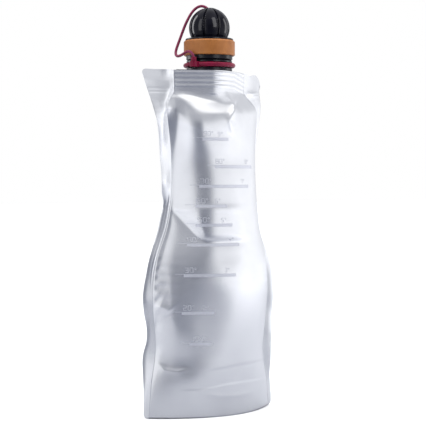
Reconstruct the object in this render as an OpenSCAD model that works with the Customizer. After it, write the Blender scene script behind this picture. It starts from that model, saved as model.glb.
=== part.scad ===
// Folding water bottle: a soft film pouch that stands on its bottom gusset, welded to a moulded
// spout, with a screw cap that has a fluted ball grip, and a cord that ties the cap to the neck.
// The origin is on the standing surface, on the neck's axis. X runs across the pouch, -Y is its front.

/* [Pouch] */
// Height of the film pouch from its standing rim to its top edge
pouch_h = 265; // [262:0.5:266]
// Width across the widest part of the belly, side seams included
belly_w = 125; // [118:1:130]
// Width across the waist, side seams included
waist_w = 91; // [86:1:96]
// Width of the top edge
top_w = 122; // [114:1:126]
// Width of the standing rim
base_w = 123; // [116:1:126]
// Depth of the filled belly, front to back
belly_depth = 66; // [58:1:72]
// Depth of the standing rim
base_depth = 51; // [44:1:56]
// Thickness of the laminated film
film_t = 0.5; // [0.4:0.05:0.6]
// Width of a welded side seam
seam_w = 8.5; // [7:0.5:10]
// Radius of the pouch's outer corners
corner_r = 4; // [2:0.5:6]

/* [Spout] */
// Radius of the neck's inside wall
bore_r = 12; // [11:0.25:12.25]
// Root radius of the neck's thread
neck_r = 14; // [13.8:0.1:14.1]
// Half length of the boat-shaped weld base
boat_l = 33.5; // [30:0.5:35]
// Radius of the weld base at its middle
boat_r = 16; // [15.5:0.1:16.3]
// Height of the weld base
boat_h = 15; // [13:0.5:16]
// Number of weld ribs round the base
boat_ribs = 5; // [3:1:6]
// Lead of the thread
pitch = 4.5; // [4.4:0.1:4.6]

/* [Cap] */
// Radius of the cap's skirt
skirt_r = 17.9; // [17.6:0.1:18.2]
// Outer radius of the grip band
band_r = 19.85; // [19.5:0.05:20]
// Height of the grip band
band_h = 11.8; // [11:0.1:12]
// Radius of the ball grip
ball_r = 15.9; // [15.5:0.1:16.2]
// Number of flutes in the ball grip, an even number
flutes = 8; // [6:2:10]

/* [Tether] */
// Diameter of the tether cord
cord_d = 2.2; // [2:0.1:2.6]
// Thickness of the ring round the neck
ring_d = 3.5; // [3:0.1:3.6]
// Radius of the middle of the ring's section
ring_r = 18.5; // [18.3:0.05:18.7]

/* [Hidden] */
$fn = 96;

// Heights along the neck, all worked out from the pouch's top edge.
weld_z = pouch_h - boat_h;
collar_z = pouch_h + 0.3;            // underside of the collar on the pouch's top edge
collar_r = 17.7;
collar_t = 1.6;
ring_z = collar_z + collar_t + 0.9 + ring_d / 2;
bead_z = ring_z + ring_d / 2 + 0.5;  // bead that keeps the tether ring on the neck
bead_r = 17.7;
bead_t = 1;
skirt_z = bead_z + bead_t + 0.6;
band_z = skirt_z + 3.6;
neck_top = skirt_z + 13;
seal_z = neck_top + 0.05;
seal_t = 1.5;
roof_z = seal_z + seal_t + 0.05;     // ceiling of the cap's inside
seat_top = band_z + band_h + 0.2;
flange_r = 18.6;
flange_t = 1.2;
ball_z = seat_top + 9.6;             // centre of the ball grip
seat_r = 16.9;
cap_bore = neck_r + 1.6;
knob_spigot_r = 11.4;

// ---- Smooth curves through a few points [height, value] ----
function span_of(z, p, i = 0) = (i >= len(p) - 2 || z < p[i + 1][0]) ? i : span_of(z, p, i + 1);
function slope_at(p, i) =
    let (a = max(i - 1, 0), b = min(i + 1, len(p) - 1)) (p[b][1] - p[a][1]) / (p[b][0] - p[a][0]);
function curve(z, p) =
    let (i = span_of(z, p), h = p[i + 1][0] - p[i][0], t = min(max((z - p[i][0]) / h, 0), 1))
    (2 * t^3 - 3 * t^2 + 1) * p[i][1] + (t^3 - 2 * t^2 + t) * h * slope_at(p, i)
    + (3 * t^2 - 2 * t^3) * p[i + 1][1] + (t^3 - t^2) * h * slope_at(p, i + 1);
function ease(z, a, b) = let (t = min(max((z - a) / (b - a), 0), 1)) t * t * (3 - 2 * t);

// ---- The filled pouch: half widths, half depth and roundness against height ----
belly_z = 0.35 * pouch_h;
waist_z = 0.65 * pouch_h;
outline = [[0, base_w / 2], [0.235 * pouch_h, 0.97 * belly_w / 2], [belly_z, belly_w / 2],
           [0.45 * pouch_h, 0.95 * belly_w / 2], [0.55 * pouch_h, 0.23 * (belly_w + waist_w)],
           [waist_z, waist_w / 2], [0.77 * pouch_h, 1.03 * waist_w / 2],
           [0.89 * pouch_h, 0.25 * (waist_w + top_w)], [pouch_h, top_w / 2]];
weld_l = boat_l + film_t + 0.2;
seam_line = [[0, base_w / 2 - 2], [25, base_w / 2 - 5], [50, 0.97 * belly_w / 2 - seam_w],
             [belly_z, belly_w / 2 - seam_w], [0.45 * pouch_h, 0.95 * belly_w / 2 - seam_w],
             [0.55 * pouch_h, 0.23 * (belly_w + waist_w) - seam_w], [waist_z, waist_w / 2 - seam_w],
             [0.76 * pouch_h, waist_w / 2 - seam_w + 0.5], [0.885 * pouch_h, 41.5],
             [0.915 * pouch_h, 39.5], [weld_z - 1, weld_l], [weld_z, weld_l], [pouch_h, weld_l]];
half_depth = [[0, base_depth / 2], [45, 0.9 * belly_depth / 2], [belly_z, belly_depth / 2],
              [0.5 * pouch_h, 0.95 * belly_depth / 2], [waist_z, 0.86 * belly_depth / 2],
              [0.78 * pouch_h, 0.7 * belly_depth / 2], [0.88 * pouch_h, 18.5],
              [weld_z - 1, boat_r + film_t + 0.2], [weld_z, boat_r + film_t + 0.2],
              [pouch_h, boat_r + film_t + 0.2]];
roundness = [[0, 1], [40, 0.8], [belly_z, 0.62], [waist_z, 0.58], [0.78 * pouch_h, 0.65],
             [pouch_h, 0.9]];

function corner_in(z) =
    z > pouch_h - corner_r ? corner_r - sqrt(corner_r^2 - (z - pouch_h + corner_r)^2)
    : z < corner_r ? corner_r - sqrt(corner_r^2 - (corner_r - z)^2) : 0;
function half_w(z) = curve(z, outline) - corner_in(z);
function seam_x(z) = min(curve(z, seam_line), half_w(z) - 0.6);

// Share of the half depth at u, the share of the way from the middle to the seam.
function boat_share(u) =
    let (s = (boat_r + 0.7) / weld_l, x = weld_l * abs(u), r = s * weld_l)
    x < r * s ? sqrt(r^2 - x^2) / r : (weld_l - x) * s / sqrt(1 - s^2) / r;
function body_share(u, z) = pow(max(1 - u * u, 0), curve(z, roundness));
function share(u, z) =
    let (b = ease(z, weld_z - 18, weld_z - 1)) (1 - b) * body_share(u, z) + b * boat_share(u);
function bulge(u, z) = (curve(z, half_depth) - film_t) * share(u, z);

// ---- Film panels ----
// A sheet between two equal grids of points, rows by columns, closed round its rim.
module sheet(skin_a, skin_b) {
    rows = len(skin_a);
    cols = len(skin_a[0]);
    count = rows * cols;
    function at(r, c) = r * cols + c;
    function quad(a, b, c, d) = [[a, b, c], [a, c, d]];
    points = [for (skin = [skin_a, skin_b]) for (row = skin) for (p = row) p];
    cells = [for (r = [0 : rows - 2]) for (c = [0 : cols - 2])
        each concat(quad(at(r, c), at(r, c + 1), at(r + 1, c + 1), at(r + 1, c)),
                    quad(count + at(r, c), count + at(r + 1, c), count + at(r + 1, c + 1),
                         count + at(r, c + 1)))];
    ends = [for (c = [0 : cols - 2])
        each concat(quad(at(0, c), count + at(0, c), count + at(0, c + 1), at(0, c + 1)),
                    quad(at(rows - 1, c), at(rows - 1, c + 1), count + at(rows - 1, c + 1),
                         count + at(rows - 1, c)))];
    sides = [for (r = [0 : rows - 2])
        each concat(quad(at(r, 0), at(r + 1, 0), count + at(r + 1, 0), count + at(r, 0)),
                    quad(at(r, cols - 1), count + at(r, cols - 1), count + at(r + 1, cols - 1),
                         at(r + 1, cols - 1)))];
    polyhedron(points, concat(cells, ends, sides), convexity = 8);
}

panel_rows = 26;
panel_half_cols = 12;
panel_z = concat([0, corner_r / 2],
                 [for (i = [1 : panel_rows]) let (k = corner_r) k + (weld_z - 1 - k) * i / panel_rows],
                 [weld_z, pouch_h - corner_r, pouch_h - 0.45 * corner_r, pouch_h - 0.1 * corner_r,
                  pouch_h]);
panel_u = [for (i = [-panel_half_cols : panel_half_cols]) sin(90 * i / panel_half_cols)];

module film_panel() {
    outside = [for (z = panel_z) concat(
        [[-half_w(z), -film_t, z]],
        [for (u = panel_u) [u * seam_x(z), -film_t - bulge(u, z), z]],
        [[half_w(z), -film_t, z]])];
    inside = [for (z = panel_z) concat(
        [[-half_w(z), 0, z]],
        [for (u = panel_u) [u * (seam_x(z) - film_t), -bulge(u, z), z]],
        [[half_w(z), 0, z]])];
    color("silver") sheet(inside, outside);
}
module front_panel() { film_panel(); }
module back_panel() { mirror([0, 1, 0]) film_panel(); }

// The gusset stands on two legs welded inside the panels and spans between them as the floor.
gusset_x = 50;
gusset_gap = 0.25;
gusset_mid_z = 18;
gusset_side_z = 45;
gusset_sag = 7;
function panel_inside(x, z) = -bulge(x / (seam_x(z) - film_t), z);
function arc_z(x) = gusset_mid_z + (gusset_side_z - gusset_mid_z) * pow(abs(x) / gusset_x, 2.2);
function leg(x, n) = [for (i = [0 : n]) let (z = arc_z(x) * i / n) [panel_inside(x, z) + gusset_gap, z]];
function floor_span(x, n) =
    let (z = arc_z(x), y = -panel_inside(x, z) - gusset_gap, sag = gusset_sag * (1 - pow(x / gusset_x, 2)))
    [for (i = [1 : n - 1]) let (t = 2 * i / n - 1) [y * t, z - sag * (1 - t * t)]];
function turned(line) = [for (i = [len(line) - 1 : -1 : 0]) [-line[i][0], line[i][1]]];

module bottom_gusset() {
    steps = 4;
    spans = 8;
    xs = [for (i = [-10 : 10]) gusset_x * sin(9 * i)];
    function top(x) = concat(leg(x, steps), floor_span(x, spans), turned(leg(x, steps)));
    function under(x) =
        let (line = top(x), last = len(line) - 1)
        [for (i = [0 : last])
            let (dy = i <= steps ? film_t : i >= last - steps ? -film_t : 0,
                 dz = i >= steps && i <= last - steps ? -film_t : 0)
            [line[i][0] + dy, line[i][1] + dz]];
    color("lightsteelblue") sheet([for (x = xs) [for (p = under(x)) [x, p[0], p[1]]]],
                                  [for (x = xs) [for (p = top(x)) [x, p[0], p[1]]]]);
}

// ---- Threads ----
// A ridge wound from radius r_root to r_tip, starting at height z0 and fading in and out at its ends.
module ridge(r_root, r_tip, z0, turns) {
    step = 10;
    count = turns * 360 / step;
    root_w = 2;
    tip_w = 1;
    rings = [for (i = [0 : count])
        let (a = i * step, z = z0 + pitch * a / 360, fade = min(1, 0.15 + i / 3, 0.15 + (count - i) / 3),
             tip = r_root + (r_tip - r_root) * fade)
        [for (p = [[r_root, -root_w / 2], [tip, -tip_w / 2], [tip, tip_w / 2], [r_root, root_w / 2]])
            [p[0] * cos(a), p[0] * sin(a), z + p[1]]]];
    tube(rings, r_tip < r_root);
}

// A closed tube through rings of points. forward says which way the rings turn.
module tube(rings, forward) {
    n = len(rings[0]);
    last = len(rings) - 1;
    function at(i, j) = i * n + j % n;
    function way(face) = forward ? face : [for (k = [len(face) - 1 : -1 : 0]) face[k]];
    walls = [for (i = [0 : last - 1]) for (j = [0 : n - 1])
        each [way([at(i, j), at(i + 1, j), at(i + 1, j + 1)]), way([at(i, j), at(i + 1, j + 1), at(i, j + 1)])]];
    ends = [way([for (j = [0 : n - 1]) at(0, j)]), way([for (j = [n - 1 : -1 : 0]) at(last, j)])];
    polyhedron([for (ring = rings) for (p = ring) p], concat(walls, ends), convexity = 10);
}

thread_z = skirt_z + 3;

// ---- Spout ----
function boat(r, l, n = 12) =
    let (b = asin(r / l))
    concat([for (i = [0 : n]) let (a = 90 - b + (2 * b) * i / n) [r * cos(a), r * sin(a)]], [[-l, 0]],
           [for (i = [0 : n]) let (a = 270 - b + (2 * b) * i / n) [r * cos(a), r * sin(a)]], [[l, 0]]);

module spout() {
    rib_h = boat_h / (2 * boat_ribs - 1);
    color("black") difference() {
        union() {
            translate([0, 0, weld_z]) linear_extrude(boat_h + 0.4) polygon(boat(boat_r - 0.9, boat_l - 2));
            for (i = [0 : boat_ribs - 1])
                translate([0, 0, weld_z + 2 * i * rib_h]) linear_extrude(rib_h) polygon(boat(boat_r, boat_l));
            translate([0, 0, collar_z]) cylinder(r = collar_r, h = collar_t);
            translate([0, 0, weld_z + 1]) cylinder(r = neck_r, h = neck_top - weld_z - 2);
            translate([0, 0, neck_top - 1]) cylinder(r1 = neck_r, r2 = neck_r - 0.8, h = 1);
            translate([0, 0, bead_z]) cylinder(r = bead_r, h = bead_t);
            ridge(neck_r - 0.5, neck_r + 1.2, thread_z, 1.5);
        }
        translate([0, 0, weld_z - 1]) cylinder(r = bore_r, h = neck_top - weld_z + 2);
        // The weld base is cored from below, one pocket on each side of the bore.
        translate([0, 0, weld_z - 1]) linear_extrude(boat_h - 2) difference() {
            polygon(boat(boat_r - 2.6, boat_l - 7));
            circle(r = bore_r + 1.8);
        }
    }
}

// ---- Cap ----
module cap_base() {
    color("black") difference() {
        union() {
            translate([0, 0, skirt_z + 0.8]) cylinder(r = skirt_r, h = band_z - skirt_z - 0.8);
            translate([0, 0, skirt_z]) cylinder(r1 = skirt_r - 0.8, r2 = skirt_r, h = 0.8);
            translate([0, 0, band_z - 0.1]) cylinder(r = seat_r, h = seat_top - band_z + 0.1);
            translate([0, 0, seat_top - 0.1]) cylinder(r = knob_spigot_r, h = 3.1);
        }
        difference() {
            translate([0, 0, skirt_z - 1]) cylinder(r = cap_bore, h = roof_z - skirt_z + 1);
            ridge(cap_bore + 0.4, neck_r + 0.4, thread_z - 1.75, 1.25);
        }
        translate([0, 0, seat_top - 0.6]) cylinder(r = knob_spigot_r - 1.6, h = 5);
    }
}

module cap_band() {
    chamfer = 1.1;
    color("peru") translate([0, 0, band_z + 0.1]) rotate_extrude() polygon([
        [seat_r + 0.1, 0], [band_r - 0.5, 0], [band_r, 0.5], [band_r, band_h - chamfer],
        [band_r - chamfer, band_h], [seat_r + 0.1, band_h]]);
}

module seal() {
    color("gainsboro") translate([0, 0, seal_z]) cylinder(r = cap_bore - 0.3, h = seal_t);
}

// The cord leaves the ball through a hole that leans 45 degrees towards the way it hangs.
cord_way = [-0.804, 0.595];
hole_lean = 45;
module leaning(h) {
    translate([0, 0, ball_z + h]) rotate([0, 0, atan2(cord_way[1], cord_way[0])]) children();
}

// Radius of the ball grip at an angle: narrow grooves between slightly puffed lobes.
flute_depth = 1.3;
lobe_puff = 0.3;
flute_turn = 36.5;
flute_cols = [0, 1.5, 3, 4.5, 6, 9, 14];       // degrees from a groove's middle, out to a lobe
function from_groove(a) =
    let (step = 360 / flutes, b = (a - flute_turn + 720) % step) min(b, step - b);
function groove_r(a) =
    let (d = from_groove(a), g = max(0, 1 - pow(d / 6, 2)), p = d * flutes / 180)
    ball_r - flute_depth * g - lobe_puff * (1 - p) * (1 - p);
function ball_angles() = [for (i = [0 : flutes - 1]) let (mid = flute_turn + 360 * i / flutes)
    each concat([for (k = [len(flute_cols) - 1 : -1 : 1]) mid - flute_cols[k]],
                [for (d = flute_cols) mid + d], [mid + 180 / flutes])];

module fluted_ball() {
    rows = 22;
    low = -asin((ball_z - seat_top) / ball_r);
    tube([for (i = [0 : rows]) let (tilt = low + (87 - low) * i / rows)
        [for (a = ball_angles()) let (r = groove_r(a))
            [r * cos(tilt) * cos(a), r * cos(tilt) * sin(a), ball_z + r * sin(tilt)]]], true);
}

module knob() {
    inner_r = ball_r - 3.3;
    color("black") difference() {
        union() {
            intersection() {
                fluted_ball();
                translate([-20, -20, seat_top + 0.3]) cube([40, 40, 40]);
            }
            translate([0, 0, seat_top]) cylinder(r = flange_r, h = flange_t);
        }
        difference() {
            translate([0, 0, ball_z]) sphere(r = inner_r);
            translate([0, 0, seat_top - 20]) cylinder(r = 30, h = 20 + flange_t + 0.4);
        }
        translate([0, 0, seat_top - 1]) cylinder(r = knob_spigot_r + 0.1, h = 4);
        leaning(ball_r - 2) rotate([0, hole_lean, 0]) translate([0, 0, -5]) cylinder(r = 1.8, h = 12, $fn = 32);
        leaning(ball_r + 1.9) translate([3, 0, 0]) sphere(r = 3.4, $fn = 48);
    }
}

// ---- Tether ----
lug_at = [-20.4, -7.5];
lug_r = 3.1;
crimp_z = ring_z + 2.3;
crimp_h = 3;

module tether_ring() {
    lug_h = ring_d + 0.6;
    out = norm(lug_at);
    color("mediumvioletred") difference() {
        union() {
            translate([0, 0, ring_z]) rotate_extrude() translate([ring_r, 0]) circle(r = ring_d / 2, $fn = 32);
            translate([0, 0, ring_z - lug_h / 2]) rotate([0, 0, atan2(lug_at[1], lug_at[0])]) {
                translate([ring_r, -lug_r, 0]) cube([out - ring_r, 2 * lug_r, lug_h]);
                translate([out, 0, 0]) cylinder(r = lug_r, h = lug_h, $fn = 48);
            }
        }
        translate([lug_at[0], lug_at[1], ring_z - 0.5]) cylinder(r = cord_d / 2 + 0.15, h = 10, $fn = 32);
    }
}

module cord_crimp() {
    color("mediumvioletred") translate([lug_at[0], lug_at[1], crimp_z]) difference() {
        cylinder(r = 2.2, h = crimp_h, $fn = 48);
        translate([0, 0, -1]) cylinder(r = cord_d / 2 + 0.15, h = crimp_h + 2, $fn = 32);
    }
}

// A stopper knot inside the hollow ball: one turn laid over a round core.
module cord_knot() {
    color("mediumvioletred") translate([4.2, -3.1, ball_z + 7.6]) {
        sphere(r = 2.3, $fn = 32);
        rotate([35, -20, 0]) rotate_extrude() translate([1.9, 0]) circle(r = 1.2, $fn = 24);
    }
}

// Middle of the cord: out of the ball and over its shoulder, measured from the ball's centre, then
// round the front of the neck and down into the lug, measured from the ring.
cord_top = [[2.8, -2.1, 10.3], [1.9, -1.4, 11.4], [0.9, -0.7, 12.8], [-0.2, 0.2, 14.1],
            [-1.5, 1.1, 15.5], [-3.0, 2.2, 16.6], [-4.9, 3.6, 17.1], [-6.9, 5.1, 16.5], [-9.0, 6.6, 14.8],
            [-11.0, 8.0, 12.0], [-13.0, 9.2, 8.2], [-15.2, 10.5, 3.0], [-17.3, 11.7, -3.2]];
cord_low = [[-19.3, 12.7, 19.8], [-21.2, 13.3, 14.6], [-22.7, 13.0, 10.6], [-23.6, 11.4, 8.1],
            [-24.0, 8.9, 6.9], [-23.8, 6.0, 7.0], [-23.3, 3.1, 7.9], [-22.7, 0.4, 9.1],
            [-22.1, -2.2, 9.8], [-21.5, -4.6, 9.3], [-20.9, -6.4, 7.7], [-20.5, -7.3, 5.5],
            [-20.4, -7.5, 3.2], [-20.4, -7.5, 0.4]];
cord_route = concat([for (p = cord_top) [p[0], p[1], p[2] + ball_z]],
                    [for (p = cord_low) [p[0], p[1], p[2] + ring_z]]);

function unit(v) = v / norm(v);
function heading(p, i) = unit(p[min(i + 1, len(p) - 1)] - p[max(i - 1, 0)]);
function carried(p, side, i = 0) =
    i == len(p) ? [] : let (t = heading(p, i), s = unit(side - t * (t * side))) concat([s], carried(p, s, i + 1));
function swept(p, r, n) =
    let (sides = carried(p, [0.6, 0.8, 0]))
    [for (i = [0 : len(p) - 1]) let (t = heading(p, i), s = sides[i], u = cross(t, s))
        [for (j = [0 : n - 1]) let (a = 360 * j / n) p[i] + r * (cos(a) * s + sin(a) * u)]];

module tether_cord() {
    color("mediumvioletred") tube(swept(cord_route, cord_d / 2, 8), true);
}

front_panel();
back_panel();
bottom_gusset();
spout();
tether_ring();
cord_crimp();
tether_cord();
cord_knot();
cap_base();
cap_band();
knob();
seal();
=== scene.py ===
import math

import bpy
import numpy as np
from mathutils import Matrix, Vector
from mathutils.bvhtree import BVHTree


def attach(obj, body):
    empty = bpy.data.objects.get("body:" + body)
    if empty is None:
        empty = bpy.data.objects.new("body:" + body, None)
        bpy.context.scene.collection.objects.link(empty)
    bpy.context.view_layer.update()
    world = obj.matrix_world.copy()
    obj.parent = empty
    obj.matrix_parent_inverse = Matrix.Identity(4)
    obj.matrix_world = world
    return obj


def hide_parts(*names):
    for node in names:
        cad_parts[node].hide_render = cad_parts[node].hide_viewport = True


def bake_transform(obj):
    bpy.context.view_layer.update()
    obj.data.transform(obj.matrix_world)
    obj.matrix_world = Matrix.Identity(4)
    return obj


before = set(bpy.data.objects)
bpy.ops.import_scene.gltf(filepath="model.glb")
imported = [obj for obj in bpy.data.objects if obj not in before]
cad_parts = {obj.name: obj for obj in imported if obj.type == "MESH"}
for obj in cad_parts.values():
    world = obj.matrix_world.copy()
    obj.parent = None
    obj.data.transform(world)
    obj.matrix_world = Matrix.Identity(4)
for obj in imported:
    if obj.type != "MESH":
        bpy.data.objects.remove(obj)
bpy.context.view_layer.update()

# A soft film bottle with a screw cap on a cord. Lengths are metres; shape functions work in
# millimetres, and mesh_object turns them into metres.
MM = 0.001


# ---------------------------------------------------------------- camera
CAMERA_TURN = math.radians(-36.5)     # how far round the bottle's front the camera stands
CAMERA_REACH = 1.122                  # from the bottle's axis
CAMERA_EYE = 0.1816                   # height of the lens
CAMERA_TILT = math.radians(-1.35)
CAMERA_PAN = math.radians(-0.145)
CAMERA_LENS = 121.8


def make_camera():
    data = bpy.data.cameras.new("camera")
    data.lens = CAMERA_LENS
    data.sensor_width = 36.0
    data.clip_end = 50.0
    camera = bpy.data.objects.new("camera", data)
    bpy.context.scene.collection.objects.link(camera)
    camera.location = (math.sin(CAMERA_TURN) * CAMERA_REACH, -math.cos(CAMERA_TURN) * CAMERA_REACH,
                       CAMERA_EYE)
    camera.rotation_euler = (math.pi / 2 + CAMERA_TILT, 0.0, CAMERA_TURN + CAMERA_PAN)
    bpy.context.scene.camera = camera


make_camera()


# ---------------------------------------------------------------- small tools
def smooth(t):
    """An S-curve from 0 to 1 over t = 0 to 1."""
    t = np.clip(t, 0.0, 1.0)
    return t * t * (3 - 2 * t)


def ease(z, a, b):
    """0 below a, 1 above b and an S-curve between."""
    return smooth((np.asarray(z, float) - a) / (b - a))


def curve(points, z):
    """A smooth curve through a few (place, value) points, the same one that part.scad draws."""
    p = np.array(points, float)
    z = np.asarray(z, float)
    last = len(p) - 1
    i = np.clip(np.searchsorted(p[:, 0], z, side="right") - 1, 0, last - 1)
    before = np.maximum(np.arange(len(p)) - 1, 0)
    after = np.minimum(np.arange(len(p)) + 1, last)
    rate = (p[after, 1] - p[before, 1]) / (p[after, 0] - p[before, 0])
    h = p[i + 1, 0] - p[i, 0]
    t = np.clip((z - p[i, 0]) / h, 0, 1)
    return ((2 * t**3 - 3 * t**2 + 1) * p[i, 1] + (t**3 - 2 * t**2 + t) * h * rate[i]
            + (3 * t**2 - 2 * t**3) * p[i + 1, 1] + (t**3 - t**2) * h * rate[i + 1])


def soft_max(a, b, r):
    """The larger of a and b, with the corner between them rounded over r."""
    return 0.5 * (a + b + np.sqrt((a - b) ** 2 + r * r))


def soft_min(a, b, r):
    """The smaller of a and b, rounded in the same way."""
    return -soft_max(-a, -b, r)


def soft_ramp(d, r):
    """Nothing before d = 0 and d after it, with the corner rounded over r."""
    return 0.5 * (d + np.sqrt(d * d + r * r))


def path_distance(x, z, path):
    """Signed distance to a polyline in the X-Z plane, and where along it the nearest point is, 0 to 1."""
    best = np.full(np.shape(x), 1e9)
    signed = np.zeros(np.shape(x))
    along = np.zeros(np.shape(x))
    lengths = [math.dist(a, b) for a, b in zip(path, path[1:])]
    run = 0.0
    for (a, b), length in zip(zip(path, path[1:]), lengths):
        dx, dz = (b[0] - a[0]) / length, (b[1] - a[1]) / length
        t = np.clip((x - a[0]) * dx + (z - a[1]) * dz, 0, length)
        ox, oz = x - a[0] - t * dx, z - a[1] - t * dz
        d = np.hypot(ox, oz)
        near = d < best
        best = np.where(near, d, best)
        signed = np.where(near, np.sign(dx * oz - dz * ox) * d, signed)
        along = np.where(near, (run + t) / sum(lengths), along)
        run += length
    return signed, along


def ridge(x, z, path, height, left, right, sharp=0.5, ends=(0.3, 0.3)):
    """A crease along a path: height at the line, falling off over left and right of it.

    It rises over the first share of its length in ends, and sinks over the last.
    """
    d, t = path_distance(x, z, path)
    width = np.where(d > 0, left, right)
    fade = smooth(t / ends[0]) * smooth((1 - t) / ends[1])
    reach = np.sqrt(d * d + sharp * sharp) - sharp
    return height * fade * np.exp(-reach / width)


def hump(x, z, at, size, height):
    """A smooth swelling or dent, size across and up."""
    return height * np.exp(-((x - at[0]) / size[0]) ** 2 - ((z - at[1]) / size[1]) ** 2)


def link(name, mesh):
    obj = bpy.data.objects.new(name, mesh)
    bpy.context.scene.collection.objects.link(obj)
    return obj


def mesh_object(name, verts, faces, material):
    """A smooth-shaded object from points in millimetres."""
    mesh = bpy.data.meshes.new(name)
    mesh.from_pydata([tuple(v) for v in np.asarray(verts, float) * MM], [],
                     [tuple(int(i) for i in f) for f in faces])
    mesh.update()
    mesh.materials.append(material)
    mesh.polygons.foreach_set("use_smooth", [True] * len(mesh.polygons))
    return link(name, mesh)


def grid_faces(rows, cols, base=0, flip=False, closed=False):
    """Quads over a grid of points that starts at vertex base; closed joins the last column to the first."""
    faces = []
    span = cols if closed else cols - 1
    for r in range(rows - 1):
        for c in range(span):
            a, b = base + r * cols + c, base + r * cols + (c + 1) % cols
            quad = (a, b, b + cols, a + cols)
            faces.append(quad[::-1] if flip else quad)
    return faces


def grid_normals(grid):
    """Unit normals of a grid of points."""
    across = np.gradient(grid, axis=1)
    up = np.gradient(grid, axis=0)
    n = np.cross(across, up)
    return n / np.maximum(np.linalg.norm(n, axis=2, keepdims=True), 1e-9)


def thick_sheet(name, outer, inner, material):
    """A closed sheet between two equal grids of points, with its rim left sharp."""
    rows, cols = outer.shape[:2]
    count = rows * cols
    verts = np.concatenate([outer.reshape(-1, 3), inner.reshape(-1, 3)])
    faces = grid_faces(rows, cols) + grid_faces(rows, cols, count, flip=True)
    rim = ([c for c in range(cols)] + [r * cols + cols - 1 for r in range(1, rows)]
           + [(rows - 1) * cols + c for c in range(cols - 2, -1, -1)]
           + [r * cols for r in range(rows - 2, 0, -1)])
    for a, b in zip(rim, rim[1:] + rim[:1]):
        faces.append((b, a, a + count, b + count))
    sheet = mesh_object(name, verts, faces, material)
    sheet.data.set_sharp_from_angle(angle=math.radians(55))
    return sheet


# ---------------------------------------------------------------- materials
def new_material(name):
    material = bpy.data.materials.new(name)
    material.use_nodes = True
    tree = material.node_tree
    return material, tree, tree.nodes["Principled BSDF"]


def add_node(tree, kind, **values):
    """A node with inputs set by name, and anything that isn't an input set as a property."""
    node = tree.nodes.new(kind)
    for key, value in values.items():
        if key in node.inputs:
            node.inputs[key].default_value = value
        else:
            setattr(node, key, value)
    return node


def noise(tree, scale, detail):
    """Noise from 0 to 1 over the object's own space, scale to the metre."""
    where = add_node(tree, "ShaderNodeTexCoord")
    texture = add_node(tree, "ShaderNodeTexNoise", Scale=scale, Detail=detail, Roughness=0.55)
    tree.links.new(where.outputs["Object"], texture.inputs["Vector"])
    return texture.outputs["Fac"]


def ramp(tree, factor, stops):
    """Colours at (place, colour) stops, blended between."""
    node = add_node(tree, "ShaderNodeValToRGB")
    elements = node.color_ramp.elements
    while len(elements) < len(stops):
        elements.new(0.5)
    for element, (place, colour) in zip(elements, stops):
        element.position = place
        element.color = (*colour, 1.0)
    tree.links.new(factor, node.inputs["Fac"])
    return node.outputs["Color"]


def map_range(tree, factor, low, high):
    """low where the factor is 0 and high where it is 1."""
    node = add_node(tree, "ShaderNodeMapRange")
    node.inputs["To Min"].default_value = low
    node.inputs["To Max"].default_value = high
    tree.links.new(factor, node.inputs["Value"])
    return node.outputs["Result"]


def bump(tree, shader, height, strength, distance):
    node = add_node(tree, "ShaderNodeBump", Strength=strength, Distance=distance)
    tree.links.new(height, node.inputs["Height"])
    tree.links.new(node.outputs["Normal"], shader.inputs["Normal"])


def film_material():
    """Metallised laminate: satin aluminium under clear film, with faint orange peel, and painted shade that
    darkens its colour in crevices.
    """
    material, tree, shader = new_material("film")
    shader.inputs["Metallic"].default_value = 0.94
    tint = ramp(tree, noise(tree, 55.0, 3.0), [(0.3, (0.78, 0.785, 0.8)), (0.7, (0.82, 0.825, 0.835))])
    # Painted shade: an ambient-occlusion node darkens the film's base colour in creases and crevices.
    painted_shade_ao = add_node(tree, "ShaderNodeAmbientOcclusion", Distance=0.0025)
    depth = ramp(tree, painted_shade_ao.outputs["AO"], [(0.2, (0.2, 0.22, 0.27)), (0.7, (1.0, 1.0, 1.0))])
    shade = add_node(tree, "ShaderNodeMix", data_type="RGBA", blend_type="MULTIPLY")
    shade.inputs[0].default_value = 1.0
    tree.links.new(tint, shade.inputs[6])
    tree.links.new(depth, shade.inputs[7])
    tree.links.new(shade.outputs[2], shader.inputs["Base Color"])
    tree.links.new(map_range(tree, noise(tree, 160.0, 5.0), 0.19, 0.28), shader.inputs["Roughness"])
    bump(tree, shader, noise(tree, 900.0, 3.0), 0.06, 0.0004)
    shader.inputs["Coat Weight"].default_value = 0.15
    shader.inputs["Coat Roughness"].default_value = 0.25
    return material


def plastic_material(name, dark, light, roughness, specular=0.5, grain_scale=1400.0, grain=0.05):
    """Moulded plastic: a fine mottle between two colours, uneven shine and a fine grain."""
    material, tree, shader = new_material(name)
    colour = ramp(tree, noise(tree, 120.0, 4.0), [(0.35, dark), (0.7, light)])
    tree.links.new(colour, shader.inputs["Base Color"])
    tree.links.new(map_range(tree, noise(tree, 300.0, 5.0), *roughness), shader.inputs["Roughness"])
    bump(tree, shader, noise(tree, grain_scale, 3.0), grain, 0.0002)
    shader.inputs["Specular IOR Level"].default_value = specular
    return material


FILM = film_material()
KNOB_BLACK = plastic_material("knob_gloss", (0.0015, 0.0015, 0.003), (0.003, 0.003, 0.006),
                              (0.09, 0.15), 0.12)
SPOUT_BLACK = plastic_material("spout_satin", (0.002, 0.002, 0.0035), (0.0035, 0.0035, 0.006),
                               (0.26, 0.38), 0.12)
BAND_TAN = plastic_material("band_tan", (0.34, 0.115, 0.018), (0.43, 0.155, 0.03), (0.42, 0.55),
                            grain_scale=2200.0, grain=0.25)
RING_RED = plastic_material("ring_burgundy", (0.17, 0.002, 0.026), (0.25, 0.004, 0.038), (0.3, 0.42), 0.25)
SEAL_GREY = plastic_material("seal_rubber", (0.62, 0.62, 0.6), (0.72, 0.72, 0.7), (0.55, 0.7))


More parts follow.
